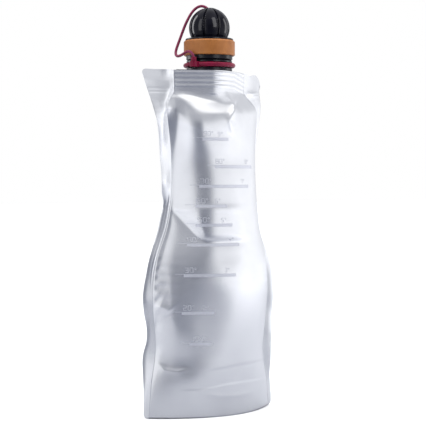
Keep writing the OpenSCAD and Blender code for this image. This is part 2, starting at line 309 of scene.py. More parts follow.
def ink_material(name, grey, metallic):
    """Pale ink: thin, so some of the film's shine comes through it."""
    material, tree, shader = new_material(name)
    tone = ramp(tree, noise(tree, 700.0, 4.0), [(0.35, tuple(0.94 * g for g in grey)), (0.65, grey)])
    tree.links.new(tone, shader.inputs["Base Color"])
    shader.inputs["Metallic"].default_value = metallic
    tree.links.new(map_range(tree, noise(tree, 900.0, 3.0), 0.38, 0.5), shader.inputs["Roughness"])
    return material


PRINT_LINE = ink_material("print_line", (0.64, 0.65, 0.70), 0.55)
PRINT_BAR = ink_material("print_bar", (0.72, 0.73, 0.78), 0.72)


def cord_material():
    """Braid: magenta strands crossing darker ones, laid out on the tube's own UV."""
    material, tree, shader = new_material("cord_braid")
    uv = add_node(tree, "ShaderNodeUVMap")
    checker = add_node(tree, "ShaderNodeTexChecker", Scale=1.0)
    tree.links.new(uv.outputs["UV"], checker.inputs["Vector"])
    checker.inputs["Color1"].default_value = (0.34, 0.012, 0.085, 1)
    checker.inputs["Color2"].default_value = (0.08, 0.003, 0.025, 1)
    tree.links.new(checker.outputs["Color"], shader.inputs["Base Color"])
    tree.links.new(map_range(tree, noise(tree, 1500.0, 3.0), 0.5, 0.75), shader.inputs["Roughness"])
    bump(tree, shader, noise(tree, 4000.0, 2.0), 0.3, 0.0002)
    shader.inputs["Sheen Weight"].default_value = 0.3
    return material


CORD = cord_material()


# ---------------------------------------------------------------- neck heights, from the CAD
POUCH_H = 265.0
RING_Z = 269.55
BALL_Z = 298.6
BALL_R = 15.9
CORD_R = 1.1
CORD_RING = 0.16                      # how far apart the rings of the cord's mesh are


# ---------------------------------------------------------------- cord
# The cord's bow in (x, y, height). CORD_TOP is from the ball's middle: it starts at the knot inside the
# ball, and its fifth point is where the cord comes out. CORD_LOW is from the ring and ends at the crimp.
CORD_TOP = [(2.8, -2.1, 10.3), (1.9, -1.4, 11.4), (0.9, -0.7, 12.8), (-0.2, 0.2, 14.1),
            (-1.5, 1.1, 15.5), (-3.0, 2.2, 16.6), (-4.9, 3.6, 17.1), (-6.9, 5.1, 16.5), (-9.0, 6.6, 14.8),
            (-11.0, 8.0, 12.0), (-13.0, 9.2, 8.2), (-15.2, 10.5, 3.0), (-17.3, 11.7, -3.2)]
CORD_LOW = [(-19.3, 12.7, 19.8), (-21.2, 13.3, 14.6), (-22.7, 13.0, 10.6), (-23.6, 11.4, 8.1),
            (-24.0, 8.9, 6.9), (-23.8, 6.0, 7.0), (-23.3, 3.1, 7.9), (-22.7, 0.4, 9.1),
            (-22.1, -2.2, 9.8), (-21.5, -4.6, 9.3), (-20.9, -6.4, 7.7), (-20.5, -7.3, 5.5),
            (-20.4, -7.5, 3.2), (-20.4, -7.5, 0.4)]


def fine_path(points, step):
    """A Catmull-Rom curve through the points, resampled at an even step."""
    p = np.array(points, float)
    p = np.concatenate([2 * p[:1] - p[1:2], p, 2 * p[-1:] - p[-2:-1]])
    out = []
    for i in range(1, len(p) - 2):
        for t in np.arange(0, 1, 0.05):
            out.append(0.5 * (2 * p[i] + (p[i + 1] - p[i - 1]) * t
                              + (2 * p[i - 1] - 5 * p[i] + 4 * p[i + 1] - p[i + 2]) * t**2
                              + (3 * p[i] - p[i - 1] - 3 * p[i + 1] + p[i + 2]) * t**3))
    out = np.array(out + [p[-2]])
    run = np.concatenate([[0], np.cumsum(np.linalg.norm(np.diff(out, axis=0), axis=1))])
    even = np.linspace(0, run[-1], int(run[-1] / step) + 1)
    return np.stack([np.interp(even, run, out[:, k]) for k in range(3)], axis=1), run[-1]


def carried_frame(path):
    """Two directions across the path at each point, carried along it without twist."""
    tangents = np.gradient(path, axis=0)
    tangents /= np.linalg.norm(tangents, axis=1, keepdims=True)
    side = np.cross(tangents[0], (0.3, 0.5, 0.8))
    sides = []
    for t in tangents:
        side = side - t * np.dot(side, t)
        side = side / np.linalg.norm(side)
        sides.append(side)
    sides = np.array(sides)
    return sides, np.cross(tangents, sides)


def make_cord():
    """The braided cord from the knot to the crimp; the strands stand out where they cross over."""
    low = [(x, y, z + RING_Z) for x, y, z in CORD_LOW]
    top = [(x, y, z + BALL_Z) for x, y, z in CORD_TOP]
    path, length = fine_path(top + low, CORD_RING)
    sides, ups = carried_frame(path)
    cols = 32
    lay = 3.4                       # length over which a strand goes once round
    strands = 8
    angle = np.arange(cols) * 2 * math.pi / cols
    s = np.arange(len(path)) * length / (len(path) - 1)
    a = strands / 2 * (angle[None, :] + 2 * math.pi * s[:, None] / lay)
    b = strands / 2 * (angle[None, :] - 2 * math.pi * s[:, None] / lay)
    over = np.abs(np.sin(a)) * np.abs(np.sin(b))
    radius = CORD_R * (0.88 + 0.12 * over**0.5)
    rings = (path[:, None, :] + radius[:, :, None] * (np.cos(angle)[None, :, None] * sides[:, None, :]
                                                      + np.sin(angle)[None, :, None] * ups[:, None, :]))
    faces = grid_faces(len(path), cols, closed=True)
    faces += [tuple(range(cols))[::-1], tuple(range((len(path) - 1) * cols, len(path) * cols))]
    cord = mesh_object("tether_cord_braid", rings.reshape(-1, 3), faces, CORD)
    layer = cord.data.uv_layers.new(name="UVMap")
    ua, ub = (a / math.pi).reshape(-1), (b / math.pi).reshape(-1)
    for poly in cord.data.polygons:
        first = poly.vertices[0]
        for loop in poly.loop_indices:
            v = cord.data.loops[loop].vertex_index
            wrap = strands if (v % cols == 0 and first % cols == cols - 1) else 0
            layer.data[loop].uv = (ua[v] + wrap, ub[v] + wrap)
    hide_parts("tether_cord")
    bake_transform(cord)


make_cord()


# ---------------------------------------------------------------- the pouch's shape, as in part.scad
BELLY_W, WAIST_W, TOP_W, BASE_W = 125.0, 91.0, 122.0, 123.0
BELLY_D, BASE_D, SEAM_W, CORNER_R = 66.0, 51.0, 8.5, 4.0
BOAT_L, BOAT_R, BOAT_H = 33.5, 16.0, 15.0
CAD_FILM, FILM_T = 0.5, 0.28          # the film's thickness in the CAD and as it is seen
RIB_PITCH = 3.4
WELD_Z = POUCH_H - BOAT_H
WELD_L = BOAT_L + CAD_FILM + 0.2
WELD_D = BOAT_R + CAD_FILM + 0.2
BELLY_Z, WAIST_Z = 0.35 * POUCH_H, 0.65 * POUCH_H
# The pouch from its rim up, each as (height, value): half its width, where its side welds begin, half its
# depth in the middle, and how round it is across, from 0 for a box to 1 for a parabola
OUTLINE = [(0, BASE_W / 2), (0.235 * POUCH_H, 0.97 * BELLY_W / 2), (BELLY_Z, BELLY_W / 2),
           (0.45 * POUCH_H, 0.95 * BELLY_W / 2), (0.55 * POUCH_H, 0.23 * (BELLY_W + WAIST_W)),
           (WAIST_Z, WAIST_W / 2), (0.77 * POUCH_H, 1.03 * WAIST_W / 2),
           (0.89 * POUCH_H, 0.25 * (WAIST_W + TOP_W)), (POUCH_H, TOP_W / 2)]
SEAM_LINE = [(0, BASE_W / 2 - 2), (25, BASE_W / 2 - 5), (50, 0.97 * BELLY_W / 2 - SEAM_W),
             (BELLY_Z, BELLY_W / 2 - SEAM_W), (0.45 * POUCH_H, 0.95 * BELLY_W / 2 - SEAM_W),
             (0.55 * POUCH_H, 0.23 * (BELLY_W + WAIST_W) - SEAM_W), (WAIST_Z, WAIST_W / 2 - SEAM_W),
             (0.76 * POUCH_H, WAIST_W / 2 - SEAM_W + 0.5), (0.885 * POUCH_H, 41.5),
             (0.915 * POUCH_H, 39.5), (WELD_Z - 1, WELD_L), (WELD_Z, WELD_L), (POUCH_H, WELD_L)]
HALF_DEPTH = [(0, BASE_D / 2), (45, 0.9 * BELLY_D / 2), (BELLY_Z, BELLY_D / 2),
              (0.5 * POUCH_H, 0.95 * BELLY_D / 2), (WAIST_Z, 0.86 * BELLY_D / 2),
              (0.78 * POUCH_H, 0.7 * BELLY_D / 2), (0.88 * POUCH_H, 18.5),
              (WELD_Z - 1, WELD_D), (WELD_Z, WELD_D), (POUCH_H, WELD_D)]
ROUNDNESS = [(0, 1), (40, 0.8), (BELLY_Z, 0.62), (WAIST_Z, 0.58), (0.78 * POUCH_H, 0.65), (POUCH_H, 0.9)]


def corner_in(z):
    """How far the pouch's rounded corners stand in from its outline."""
    top = np.sqrt(np.maximum(CORNER_R**2 - np.maximum(z - POUCH_H + CORNER_R, 0) ** 2, 0))
    low = np.sqrt(np.maximum(CORNER_R**2 - np.maximum(CORNER_R - z, 0) ** 2, 0))
    return 2 * CORNER_R - top - low


def half_w(z):
    """Half the pouch's width."""
    return curve(OUTLINE, z) - corner_in(z)


def seam_x(z):
    """Where the side weld begins, from the middle."""
    return np.minimum(curve(SEAM_LINE, z), half_w(z) - 0.6)


def boat_share(u):
    """Depth over the spout's weld base, as a share of its middle: a round nose with straight flanks."""
    s = (BOAT_R + 0.7) / WELD_L
    x, r = WELD_L * np.abs(u), WELD_L * s
    flank = (WELD_L - x) * s / math.sqrt(1 - s * s) / r
    return np.where(x < r * s, np.sqrt(np.maximum(r * r - x * x, 0)) / r, flank)


def share(u, z):
    """Depth at u as a share of the panel's middle: a rounded body that turns into the boat at the top."""
    b = ease(z, WELD_Z - 18, WELD_Z - 1)
    return (1 - b) * np.maximum(1 - u * u, 0) ** curve(ROUNDNESS, z) + b * boat_share(u)


def plain_depth(u, z):
    """How far the filled panel stands out from the mid plane at u, -1 to 1 between the seams."""
    return CAD_FILM + (curve(HALF_DEPTH, z) - CAD_FILM) * share(np.clip(u, -1, 1), z)


# The left of the front hangs in flat bands between fold lines. Each fold is its line in (height, x)
# points, then how steeply the film climbs past it, in degrees at each height, and how soft the fold is.
SEAM_SIDE = [(0, 42), (45, 42), (60, 33), (225, 33), (238, 24), (244, 22), (249, 29.2)]
FOLDS = [
    ([(0, -62), (50, -52), (66, -51.6), (76, -52.2), (89, -52.6), (98, -52.2), (108, -50.4), (121, -46.8),
      (133, -42.4), (139, -40.2), (146, -38.2), (154, -37), (160, -36.3), (166, -36), (174, -37)],
     [(0, 42), (50, 44), (108, 44.5), (118, 48), (133, 56), (146, 58), (154, 56), (160, 40), (190, 33),
      (225, 33), (238, 24), (244, 22), (249, 29.2)],
     [(0, 3), (100, 1), (240, 1)]),
    ([(0, -36), (40, -37), (50, -37.5), (66, -40), (76, -42.6), (90, -43), (108, -43), (121, -43.2),
      (133, -40.2), (139, -38.4), (146, -36.6), (154, -36.4), (160, -37)],
     [(0, 36), (50, 38), (76, 39), (108, 39), (121, 38), (154, 37), (160, 36), (190, 33), (225, 33),
      (238, 24), (244, 22), (249, 29.2)],
     [(0, 6), (60, 4), (76, 1), (108, 1), (121, 4), (133, 6), (146, 4), (154, 2), (160, 4)]),
    ([(0, -30), (100, -30), (120, -22), (132, -19.6), (139, -24.8), (146, -29), (154, -33.8),
      (158.5, -36.1), (163, -35.9), (181, -35.4), (192, -35.2), (204, -34.8), (215, -33.8), (223, -33.4),
      (230, -33.8), (235, -36), (240, -39)],
     [(0, 36), (50, 38), (76, 39), (108, 39), (131, 38), (137, 53), (165, 55), (192, 53),
      (215, 51), (230, 47), (240, 34), (244, 30), (249, 29.2)],
     [(0, 3), (130, 0.8), (158, 0.8), (165, 1), (192, 1.5), (215, 1.5), (240, 2)]),
    ([(0, -28), (50, -28), (76, -32), (89, -32), (108, -27.8), (121, -22), (132, -18.8), (139, -20),
      (146.5, -22.2), (154, -23.3), (165, -24), (192, -24), (204, -25), (215, -27), (223, -28.4),
      (230.6, -31.4), (235, -34.6), (240, -38.5)],
     [(0, 26), (50, 28), (89, 32), (108, 34), (121, 36), (165, 35), (204, 35), (220, 31), (240, 28),
      (249, 29.2)],
     [(0, 8), (108, 8), (130, 3), (139, 1.2), (150, 2), (165, 6), (204, 6), (215, 3), (223, 1.5),
      (240, 1.5)]),
    ([(0, -22), (50, -23), (89, -28), (108, -22), (133, -16.5), (165, -16.2), (181, -15.8), (192, -16.4),
      (204, -18), (215, -21), (223, -24), (230.6, -28), (235, -31.5), (240, -36.5)],
     [(0, 18), (50, 20), (89, 22), (108, 19), (125, 13), (165, 13), (192, 15), (223, 17), (231, 20),
      (240, 24), (244, 24.5), (249, 29.2)],
     [(0, 12), (89, 14), (108, 12), (130, 6), (165, 5), (204, 5), (223, 4), (240, 2)]),
]


def slope(points, z):
    """A curve of angles in degrees, as a slope."""
    return np.tan(np.radians(curve(points, z)))


def folded_depth(x, z):
    """Depth of the flat bands, built up from the left seam one fold after another."""
    start = -seam_x(z)
    climb = slope(SEAM_SIDE, z)
    depth = 0.6 + climb * (x - start)
    for line, turn, softness in FOLDS:
        at, r = np.maximum(curve(line, z), start), curve(softness, z)
        past = slope(turn, z)
        depth = depth + (past - climb) * (soft_ramp(x - at, r) - soft_ramp(start - at, r))
        climb = past
    return depth


def front_depth(x, z):
    """Depth of the front panel with its creases: full on the right, hanging in flat bands on the left."""
    u = x / seam_x(z)
    full = plain_depth(u, z)
    corner = 3.5 - 2.2 * ease(z, 215, 235)           # how softly the flat bands meet the full film
    cut = soft_min(full, folded_depth(x, z), corner)
    welded = ease(z, 245.5, 250)                     # the bands end where the spout's weld begins
    depth = cut * (1 - welded) + full * welded
    inside = smooth((1 - np.abs(u)) / 0.06)          # no crease crosses the side welds
    lift = shoulder(x, z) + right_creases(x, z) + bottom_welds(x, z) + left_dents(x, z) + puckers(x, z)
    return depth + lift * inside


def right_creases(x, z):
    """The sideways V right of the shoulder: a crease down from the weld, then one back and on down."""
    tip = (10.5, 238)
    upper = ridge(x, z, [(2, 251), (5, 245), tip], 1.6, 3.5, 2.5, 0.4, (0.85, 0.05))
    lower = ridge(x, z, [tip, (5, 232), (1.5, 227), (3, 220), (6, 212)], 1.7, 3, 2.5, 0.4, (0.05, 0.5))
    return upper + lower


def left_dents(x, z):
    """The buckles beside the left weld below the belly, and the fold that closes them at the bottom."""
    fold = ridge(x, z, [(-52, 44), (-47, 37.5), (-40, 36), (-31, 38.5)], 0.9, 1.1, 6, 0.3, (0.3, 0.4))
    pillow = 1.7 * np.exp(-((x + 38) / 13) ** 2) * ease(z, 34, 62) * (1 - ease(z, 62, 104))
    groove = ridge(x, z, [(-50.5, 82), (-51.5, 66), (-50, 46)], 0.9, 2, 4, 0.8)
    brow = ridge(x, z, [(-53, 86), (-48, 84), (-43, 80)], 0.9, 5, 3, 0.8)
    return fold + pillow - groove + brow


def bottom_welds(x, z):
    """Where the bottom gusset is welded in behind the front: two faint steps across and a shallow lens."""
    upper = curve([(-60, 34), (-34, 35.5), (-11, 37.5), (13, 39.5), (62, 38.5)], x)
    lower = curve([(-60, 22), (-28, 22), (-2, 25), (26, 25), (62, 23)], x)
    reach = ease(x, -30, -8)
    lens = ridge(x, z, [(-30, 20), (-10, 16), (8, 15), (34, 16)], 0.35, 4, 2.5, 0.6)
    rise = 0.2 * reach * ease(z, upper - 1.2, upper + 1.2)
    return rise - 0.16 * ease(x, -42, -30) * ease(z, lower - 1, lower + 1) + lens


def puckers(x, z):
    """Short wrinkles that run in from the side welds, where flat film has to bend round the full belly."""
    height, spacing, reach = 0.42, 8.3, 5.0
    from_seam = seam_x(z) - np.abs(x)
    uneven = 1.7 * np.sin(z / 9.0) + np.where(x < 0, 0.4, 2.0)
    wave = np.sin(2 * math.pi * z / spacing + uneven)
    belly = ease(z, 68, 84) * (1 - ease(z, 112, 132))
    return height * wave * np.exp(-from_seam / reach) * smooth(from_seam / 4.5) * belly


# The shoulder below the spout's weld: a facet between two fold lines, (x, height) from the left
SHOULDER_TOP = [(-45, 251), (-36, 250), (-24, 246.4), (-14, 243.2), (-4, 241), (6, 240), (20, 241)]
SHOULDER_FOOT = [(-45, 251), (-36, 250), (-31, 243), (-27, 237.6), (-21, 234.2), (-11, 232), (-1, 231.6),
                 (20, 233.5)]


def shoulder(x, z):
    """The step where the full film swells out below the flat weld; it sinks back further down."""
    top, foot = curve(SHOULDER_TOP, x), curve(SHOULDER_FOOT, x)
    climb = 0.08 + 0.36 * ease(x, -36, -19)
    step = climb * (soft_ramp(top - z, 1.0) - soft_ramp(foot - z, 2.4))
    return step * (1 - ease(x, 8, 26)) * ease(z, 192, 228)


def back_depth(x, z):
    """Depth of the back panel: the plain body with a few soft folds and one dent."""
    u = x / seam_x(z)
    depth = plain_depth(u, z)
    inside = smooth((1 - np.abs(u)) / 0.15)
    brow = ridge(x, z, [(-30, 250), (-18, 240), (-4, 236), (10, 240), (28, 249)], 1.4, 6, 5)
    hollow = ridge(x, z, [(-24, 238), (-8, 228), (10, 229), (26, 238)], 1.6, 7, 6, 2)
    dent = ridge(x, z, [(34, 200), (26, 170), (30, 140), (40, 118)], 2.2, 8, 6, 1.0)
    fold = ridge(x, z, [(-34, 160), (-22, 146), (-6, 138)], 1.6, 7, 6)
    gusset_weld = ridge(x, z, [(-48, 42), (-30, 37), (0, 38), (34, 36), (50, 44)], 0.8, 4, 4, 1.0)
    return depth + (brow - hollow - dent + fold - gusset_weld) * inside


def weld_marks(x, z):
    """Height of the beads pressed over the spout's weld base, and of the pressed lines on the wings."""
    droop = 0.2 * np.maximum(x - 17, 0)              # the beads run down to the right
    band = ease(z + droop, WELD_Z - 0.6, WELD_Z + 0.3) * (1 - ease(z, POUCH_H - 1.0, POUCH_H))
    across = 1 - ease(np.abs(x), WELD_L - 1.5, WELD_L + 0.5)
    phase = (z + droop - WELD_Z + 0.4) / RIB_PITCH
    beads = 0.5 * np.exp(-((phase - np.round(phase)) * RIB_PITCH / 0.55) ** 2)
    wing = ease(np.abs(x), 41, 43) * (1 - ease(np.abs(x), 54, 57))
    lines = 0.22 * (np.exp(-((z - 250.2) / 0.5) ** 2) + np.exp(-((z - 247.8) / 0.5) ** 2))
    return band * across * beads + wing * lines


def front_marks(x, z):
    """Creases of the front that run from the body onto its wings."""
    curl = ridge(x, z, [(-37.5, 262), (-38, 254), (-41.5, 247), (-44.8, 240), (-44.2, 233.5), (-41.5, 228)],
                 2.0, 3.2, 3.2, 1.5, (0.4, 0.25))
    nick = hump(x, z, (-42.6, 231), (1.0, 1.8), 0.7)
    wing_crease = ridge(x, z, [(-41.2, 268), (-40.4, 250)], 0.45, 0.7, 0.7, 0.2, (0.01, 0.2))
    right_crease = ridge(x, z, [(33, 245), (39, 250), (45, 250), (50, 243), (51, 232)], 0.8, 1.6, 1.6, 0.5)
    return curl - nick - wing_crease + right_crease


# How far each top wing leans back (+) or forward (-), at each height
RIGHT_WING_LEAN = [(0, 0), (212, 0), (240, -1.6), (265, 2.6)]
LEFT_WING_LEAN = [(0, 0), (196, 0), (225, -3.0), (237, -1.7), (265, 2.6)]


def wing_bend(x, z):
    """How far the welded edges and wings lean back (+) or forward (-), shared by both panels."""
    # The two top wings; the left one also steps forward beside the spout's weld base
    high = ease(z, 205, 255)
    right = high * 0.015 * np.maximum(x - 34, 0) ** 2 + curve(RIGHT_WING_LEAN, z) * ease(x, 37, 47)
    strip = high * 0.9 * np.clip((-x - 34.5) / 6, 0, 1)
    left = high * 0.13 * np.maximum(-x - 41, 0) + curve(LEFT_WING_LEAN, z) * ease(-x, 38.5, 47)
    # The side welds: the left one forward at the waist and back below it, the right one forward low down
    waist = np.exp(-((z - 181) / 10) ** 2) * 1.2 * ease(-x, 36, 44)
    back_lean = 0.36 - 0.06 * ease(-z, -70, -40)
    flange = back_lean * np.maximum(-x - seam_x(z) + 1.3, 0) * ease(z, 2, 46) * (1 - ease(z, 158, 178))
    flange -= 0.42 * np.maximum(x - seam_x(z), 0) * ease(z, 16, 36) * (1 - ease(z, 105, 130))
    # The last millimetre or so rolls back, and the edges waver at the belly
    rim = half_w(z) - np.abs(x) - np.where(x < 0, left_trim(z), 0)
    roll = np.where(x < 0, 0.3, 1.5) * soft_ramp(1.4 - rim, 0.4) * ease(z, 8, 30) * (1 - ease(z, 252, 258))
    ripple = 0.5 * np.sin(z / 5.3 + 0.6 * np.sin(z / 11)) * np.exp(-((z - 118) / 45) ** 2)
    return right - strip + left - waist + flange + roll + ripple * ease(np.abs(x), 44, 60)


def left_trim(z):
    """How much narrower the left side weld is where it curls out of sight along the edge."""
    return curve([(0, 0), (42, 0), (50, 1), (58, 3.2), (70, 3.8), (80, 2.8), (92, 2.3), (100, 3),
                  (110, 4.2), (132, 4.2), (150, 3.8), (164, 4.2), (172, 1.2), (180, 0), (265, 0)], z)


def right_pull(z):
    """How far the front film runs out over the right side weld before it lies flat on it."""
    return curve([(0, 0), (100, 0), (140, 2.5), (165, 4.5), (235, 4.5), (249, 0), (265, 0)], z)


def right_corner(z):
    """How much the right wing's top corner is cut off, rounder than the left one."""
    r = 13
    return r - np.sqrt(np.maximum(r**2 - np.maximum(z - POUCH_H + r, 0) ** 2, 0))


def panel_grids(depth_of, side):
    """Outer and inner point grids of a panel. side is -1 for the front and 1 for the back.

    x is where each point lies, and flat is where it would lie without the pull over the right weld.
    """
    z = np.concatenate([[0, 0.4, 1.2, 2.2], np.arange(3.0, POUCH_H - 4.5, 0.85),
                        POUCH_H - np.array([4.0, 3.0, 2.2, 1.5, 0.9, 0.4, 0.12, 0.0])])
    u = np.sin(np.linspace(-math.pi / 2, math.pi / 2, 161))
    edge = np.array([0, 0.05, 0.1, 0.15, 0.21, 0.28, 0.38, 0.52, 0.68, 0.84, 1])
    rows, unpulled = [], []
    for h in z:
        s, w = float(seam_x(h)), float(half_w(h))
        pull = float(right_pull(h)) if side < 0 else 0.0
        right = min(w, float(curve(OUTLINE, h) - right_corner(h)))
        left = w - max(float(left_trim(h)), 0)
        weld = -left + (left - s) * (1 - edge[:0:-1])
        rows.append(np.concatenate([weld, np.where(u > 0, u * (s + pull), u * s),
                                    s + pull + (right - s - pull) * edge[1:]]))
        unpulled.append(np.concatenate([weld, u * s, s + (right - s) * edge[1:]]))
    x, flat = np.array(rows), np.array(unpulled)
    zz = np.broadcast_to(z[:, None], x.shape)
    body = np.abs(flat) < seam_x(zz)
    lip = 0.32 * np.exp(-np.maximum(seam_x(zz) - np.abs(flat), 0) / 0.9)   # down onto the side weld
    depth = np.where(body, np.maximum(depth_of(flat, zz) - lip, FILM_T), FILM_T)
    depth = depth + weld_marks(x, zz) + side_bead(flat, zz)
    if side < 0:
        depth = np.maximum(depth + front_marks(x, zz), FILM_T)
    outer = np.stack([x, side * depth, zz], axis=2)
    n = grid_normals(outer)
    inward = np.where((side * n[..., 1])[..., None] > 0, -n, n)
    inner = outer + inward * FILM_T
    inner[..., 1] = side * np.maximum(side * inner[..., 1], 0.0)
    inner[..., 2] = np.clip(inner[..., 2], 0, POUCH_H)
    bend = wing_bend(x, zz)
    dip = 1.5 * np.exp(-((x - 42) / 5) ** 2) * ease(zz, 232, POUCH_H)      # the sag in the top edge
    for film in (outer, inner):
        film[..., 1] += bend
        film[..., 2] -= dip
    return outer, inner


def side_bead(x, z):
    """The rounded line where the side weld ends and the film opens."""
    d = np.abs(x) - seam_x(z)
    height = curve([(0, 0), (98, 0), (112, 0.2), (125, 0.4), (165, 0.4), (176, 0), (265, 0)], z)
    return np.maximum(height, 0) * np.exp(-((d - 0.7) / 0.42) ** 2)


def make_panels():
    """The two films of the body; the front one is returned for the print to lie on."""
    front_outer, front_inner = panel_grids(front_depth, -1)
    front = thick_sheet("front_film", front_outer, front_inner, FILM)
    back_outer, back_inner = panel_grids(back_depth, 1)
    back = thick_sheet("back_film", back_outer[:, ::-1], back_inner[:, ::-1], FILM)
    for piece, node in ((front, "front_panel"), (back, "back_panel")):
        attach(piece, "pouch")
        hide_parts(node)
    return front


front_film = make_panels()


# ---------------------------------------------------------------- printed scale
LINE_LIFT, BAR_LIFT = 0.05, 0.03      # the lines lie over the bars
# Each stroke of a number runs between two corners of a grid, one step wide and two high
SEGMENTS = {"a": ((0, 2), (1, 2)), "b": ((1, 2), (1, 1)), "c": ((1, 1), (1, 0)), "d": ((0, 0), (1, 0)),
            "e": ((0, 1), (0, 0)), "f": ((0, 2), (0, 1)), "g": ((0, 1), (1, 1))}
DIGITS = {"0": "abcdef", "1": "bc", "2": "abged", "3": "abgcd", "4": "fgbc", "5": "afgcd", "6": "afgedc",
          "7": "abc", "8": "abcdefg", "9": "abcdfg"}
# Height of each bar, its left and right ends, and the number above its left end
SCALE = [(212, -25, 1, "90"), (191, -16, 27, "80"), (176, -27, 20, "70"), (161, -30, -3, "60"),
         (146.5, -30, 1, "50"), (131.5, -36, 7, "40"), (108.5, -40, 2, "30"), (80, -42, -14, "20"),
         (56.5, -37, -16, "10")]


def strip_outline(a, b, width):
    """Points of a narrow strip from a to b, in pairs across it, about 0.8 mm apart."""
    length = math.dist(a, b)
    count = max(2, int(length / 0.8) + 1)
    nx, nz = -(b[1] - a[1]) / length * width / 2, (b[0] - a[0]) / length * width / 2
    pairs = []
    for t in np.linspace(0, 1, count):
        x, z = a[0] + (b[0] - a[0]) * t, a[1] + (b[1] - a[1]) * t
        pairs.append(((x + nx, z + nz), (x - nx, z - nz)))
    return pairs


def number_strips(text, x, z, tall=3.4, wide=1.9):
    """Strokes of a number and the small ring after it, each (start, end, width)."""
    strips = []
    for k, digit in enumerate(text):
        left = x + k * (wide + 1.1)
        for name in DIGITS[digit]:
            ends = [(left + across * wide, z + up * tall / 2) for across, up in SEGMENTS[name]]
            strips.append((*ends, 0.42))
    left = x + len(text) * (wide + 1.1) + 0.4
    turns = np.linspace(0, 2 * math.pi, 9)
    ring = [(left + 0.55 * math.cos(t), z + tall - 0.5 + 0.55 * math.sin(t)) for t in turns]
    return strips + [(a, b, 0.3) for a, b in zip(ring, ring[1:])]


def make_print():
    """Graduation bars and plain numbers, laid on the front film as a skin of ink."""
    tree = BVHTree.FromObject(front_film, bpy.context.evaluated_depsgraph_get())
    groups = {"print_bars": [], "print_lines": []}
    for z, x0, x1, text in SCALE:
        groups["print_bars"].append(((x0 + 5, z), (x1, z), 1.7))
        groups["print_lines"] += [((x0, z + 1.0), (x1, z + 1.0), 0.35),
                                  ((x0 + 5, z - 1.0), (x1, z - 1.0), 0.35)]
        groups["print_lines"] += number_strips(text, x0 + 6, z + 2.4)
        groups["print_lines"] += number_strips(text[:1], x1 - 9, z + 2.4, 3.0, 1.7)
    looks = {"print_bars": (BAR_LIFT, PRINT_BAR), "print_lines": (LINE_LIFT, PRINT_LINE)}
    for name, strips in groups.items():
        lift, ink_look = looks[name]
        verts, faces = [], []
        for a, b, width in strips:
            start = len(verts)
            pairs = strip_outline(a, b, width)
            for pair in pairs:
                for x, z in pair:
                    hit, normal, _, _ = tree.ray_cast(Vector((x, -100, z)) * MM, Vector((0, 1, 0)))
                    verts.append(tuple(hit / MM + normal * lift))
            faces += [(start + 2 * i + 1, start + 2 * i + 3, start + 2 * i + 2, start + 2 * i)
                      for i in range(len(pairs) - 1)]
        ink = mesh_object(name, verts, faces, ink_look)
        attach(ink, "pouch")


make_print()


# ---------------------------------------------------------------- bottom gusset
GUSSET_X, GUSSET_GAP = 50.0, 0.35     # its half width, and its clearance inside the panels
GUSSET_MID, GUSSET_SIDE, GUSSET_SAG = 18.0, 45.0, 7.0     # fold height in the middle and at the sides, sag


def gusset_line(x, legs=16, spans=40):
    """One line across the gusset: up inside the front, over the sagging fold and down inside the back."""
    top = GUSSET_MID + (GUSSET_SIDE - GUSSET_MID) * abs(x / GUSSET_X) ** 2.2
    rise = np.linspace(0, top, legs + 1)
    front = np.maximum(front_depth(np.full_like(rise, x), rise), 0.8)
    reach = np.minimum(plain_depth(x / seam_x(rise), rise), front)
    leg = np.maximum(reach - CAD_FILM - GUSSET_GAP, 0.12)
    t = np.linspace(-1, 1, spans + 1)[1:-1]
    sag = GUSSET_SAG * (1 - (x / GUSSET_X) ** 2)
    crumple = 0.5 * math.sin(x / 4.0) * np.sin(3 * t) * (1 - t * t)
    y = np.concatenate([-leg, t * leg[-1], leg[::-1]])
    z = np.concatenate([rise, top - sag * (1 - t * t) + crumple, rise[::-1]])
    return np.stack([np.full_like(y, x), y, z], axis=1)


def make_gusset():
    """The folded film floor between the two panels."""
    xs = GUSSET_X * np.sin(np.linspace(-math.pi / 2, math.pi / 2, 81))
    top = np.array([gusset_line(x) for x in xs])
    n = grid_normals(top)
    n = -n if n[:, n.shape[1] // 2, 2].mean() > 0 else n
    under = top + n * FILM_T
    under[..., 2] = np.maximum(under[..., 2], 0)
    gusset = thick_sheet("gusset_film", top, under, FILM)
    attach(gusset, "pouch")
    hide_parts("bottom_gusset")


make_gusset()


# ---------------------------------------------------------------- fluted ball grip
FLUTES, FLUTE_TURN = 8, 36.5
FLUTE_DEPTH, FLUTE_HALF = 1.3, 4.6             # millimetres deep, and degrees to each side
LOBE_FALL = 0.35                               # how far each lobe falls from its crown to the flutes
CORD_WAY = np.array([-0.804, 0.595, 0.0])      # the side the cord leaves towards
DISH_R, DISH_OUT, DISH_UP = 3.4, 3.0, 17.8     # the hollow round the cord's hole, from the ball's middle
FLANGE_Z = 289.0
# The flange in (radius, height above FLANGE_Z): out along its top, round its edge and in underneath
FLANGE = [(13.2, 1.55), (17.6, 1.45), (18.3, 1.2), (18.6, 0.8), (18.6, 0.25), (18.3, 0.05), (12.0, 0.02)]


def ball_radius(angle):
    """Radius of the ball at an angle round it, in degrees."""
    step = 360 / FLUTES
    d = (angle - FLUTE_TURN) % step
    d = np.minimum(d, step - d)
    groove = np.maximum(1 - (d / FLUTE_HALF) ** 2, 0) ** 1.3
    fall = (1 - d * FLUTES / 180) ** 2
    return BALL_R - FLUTE_DEPTH * groove - LOBE_FALL * fall


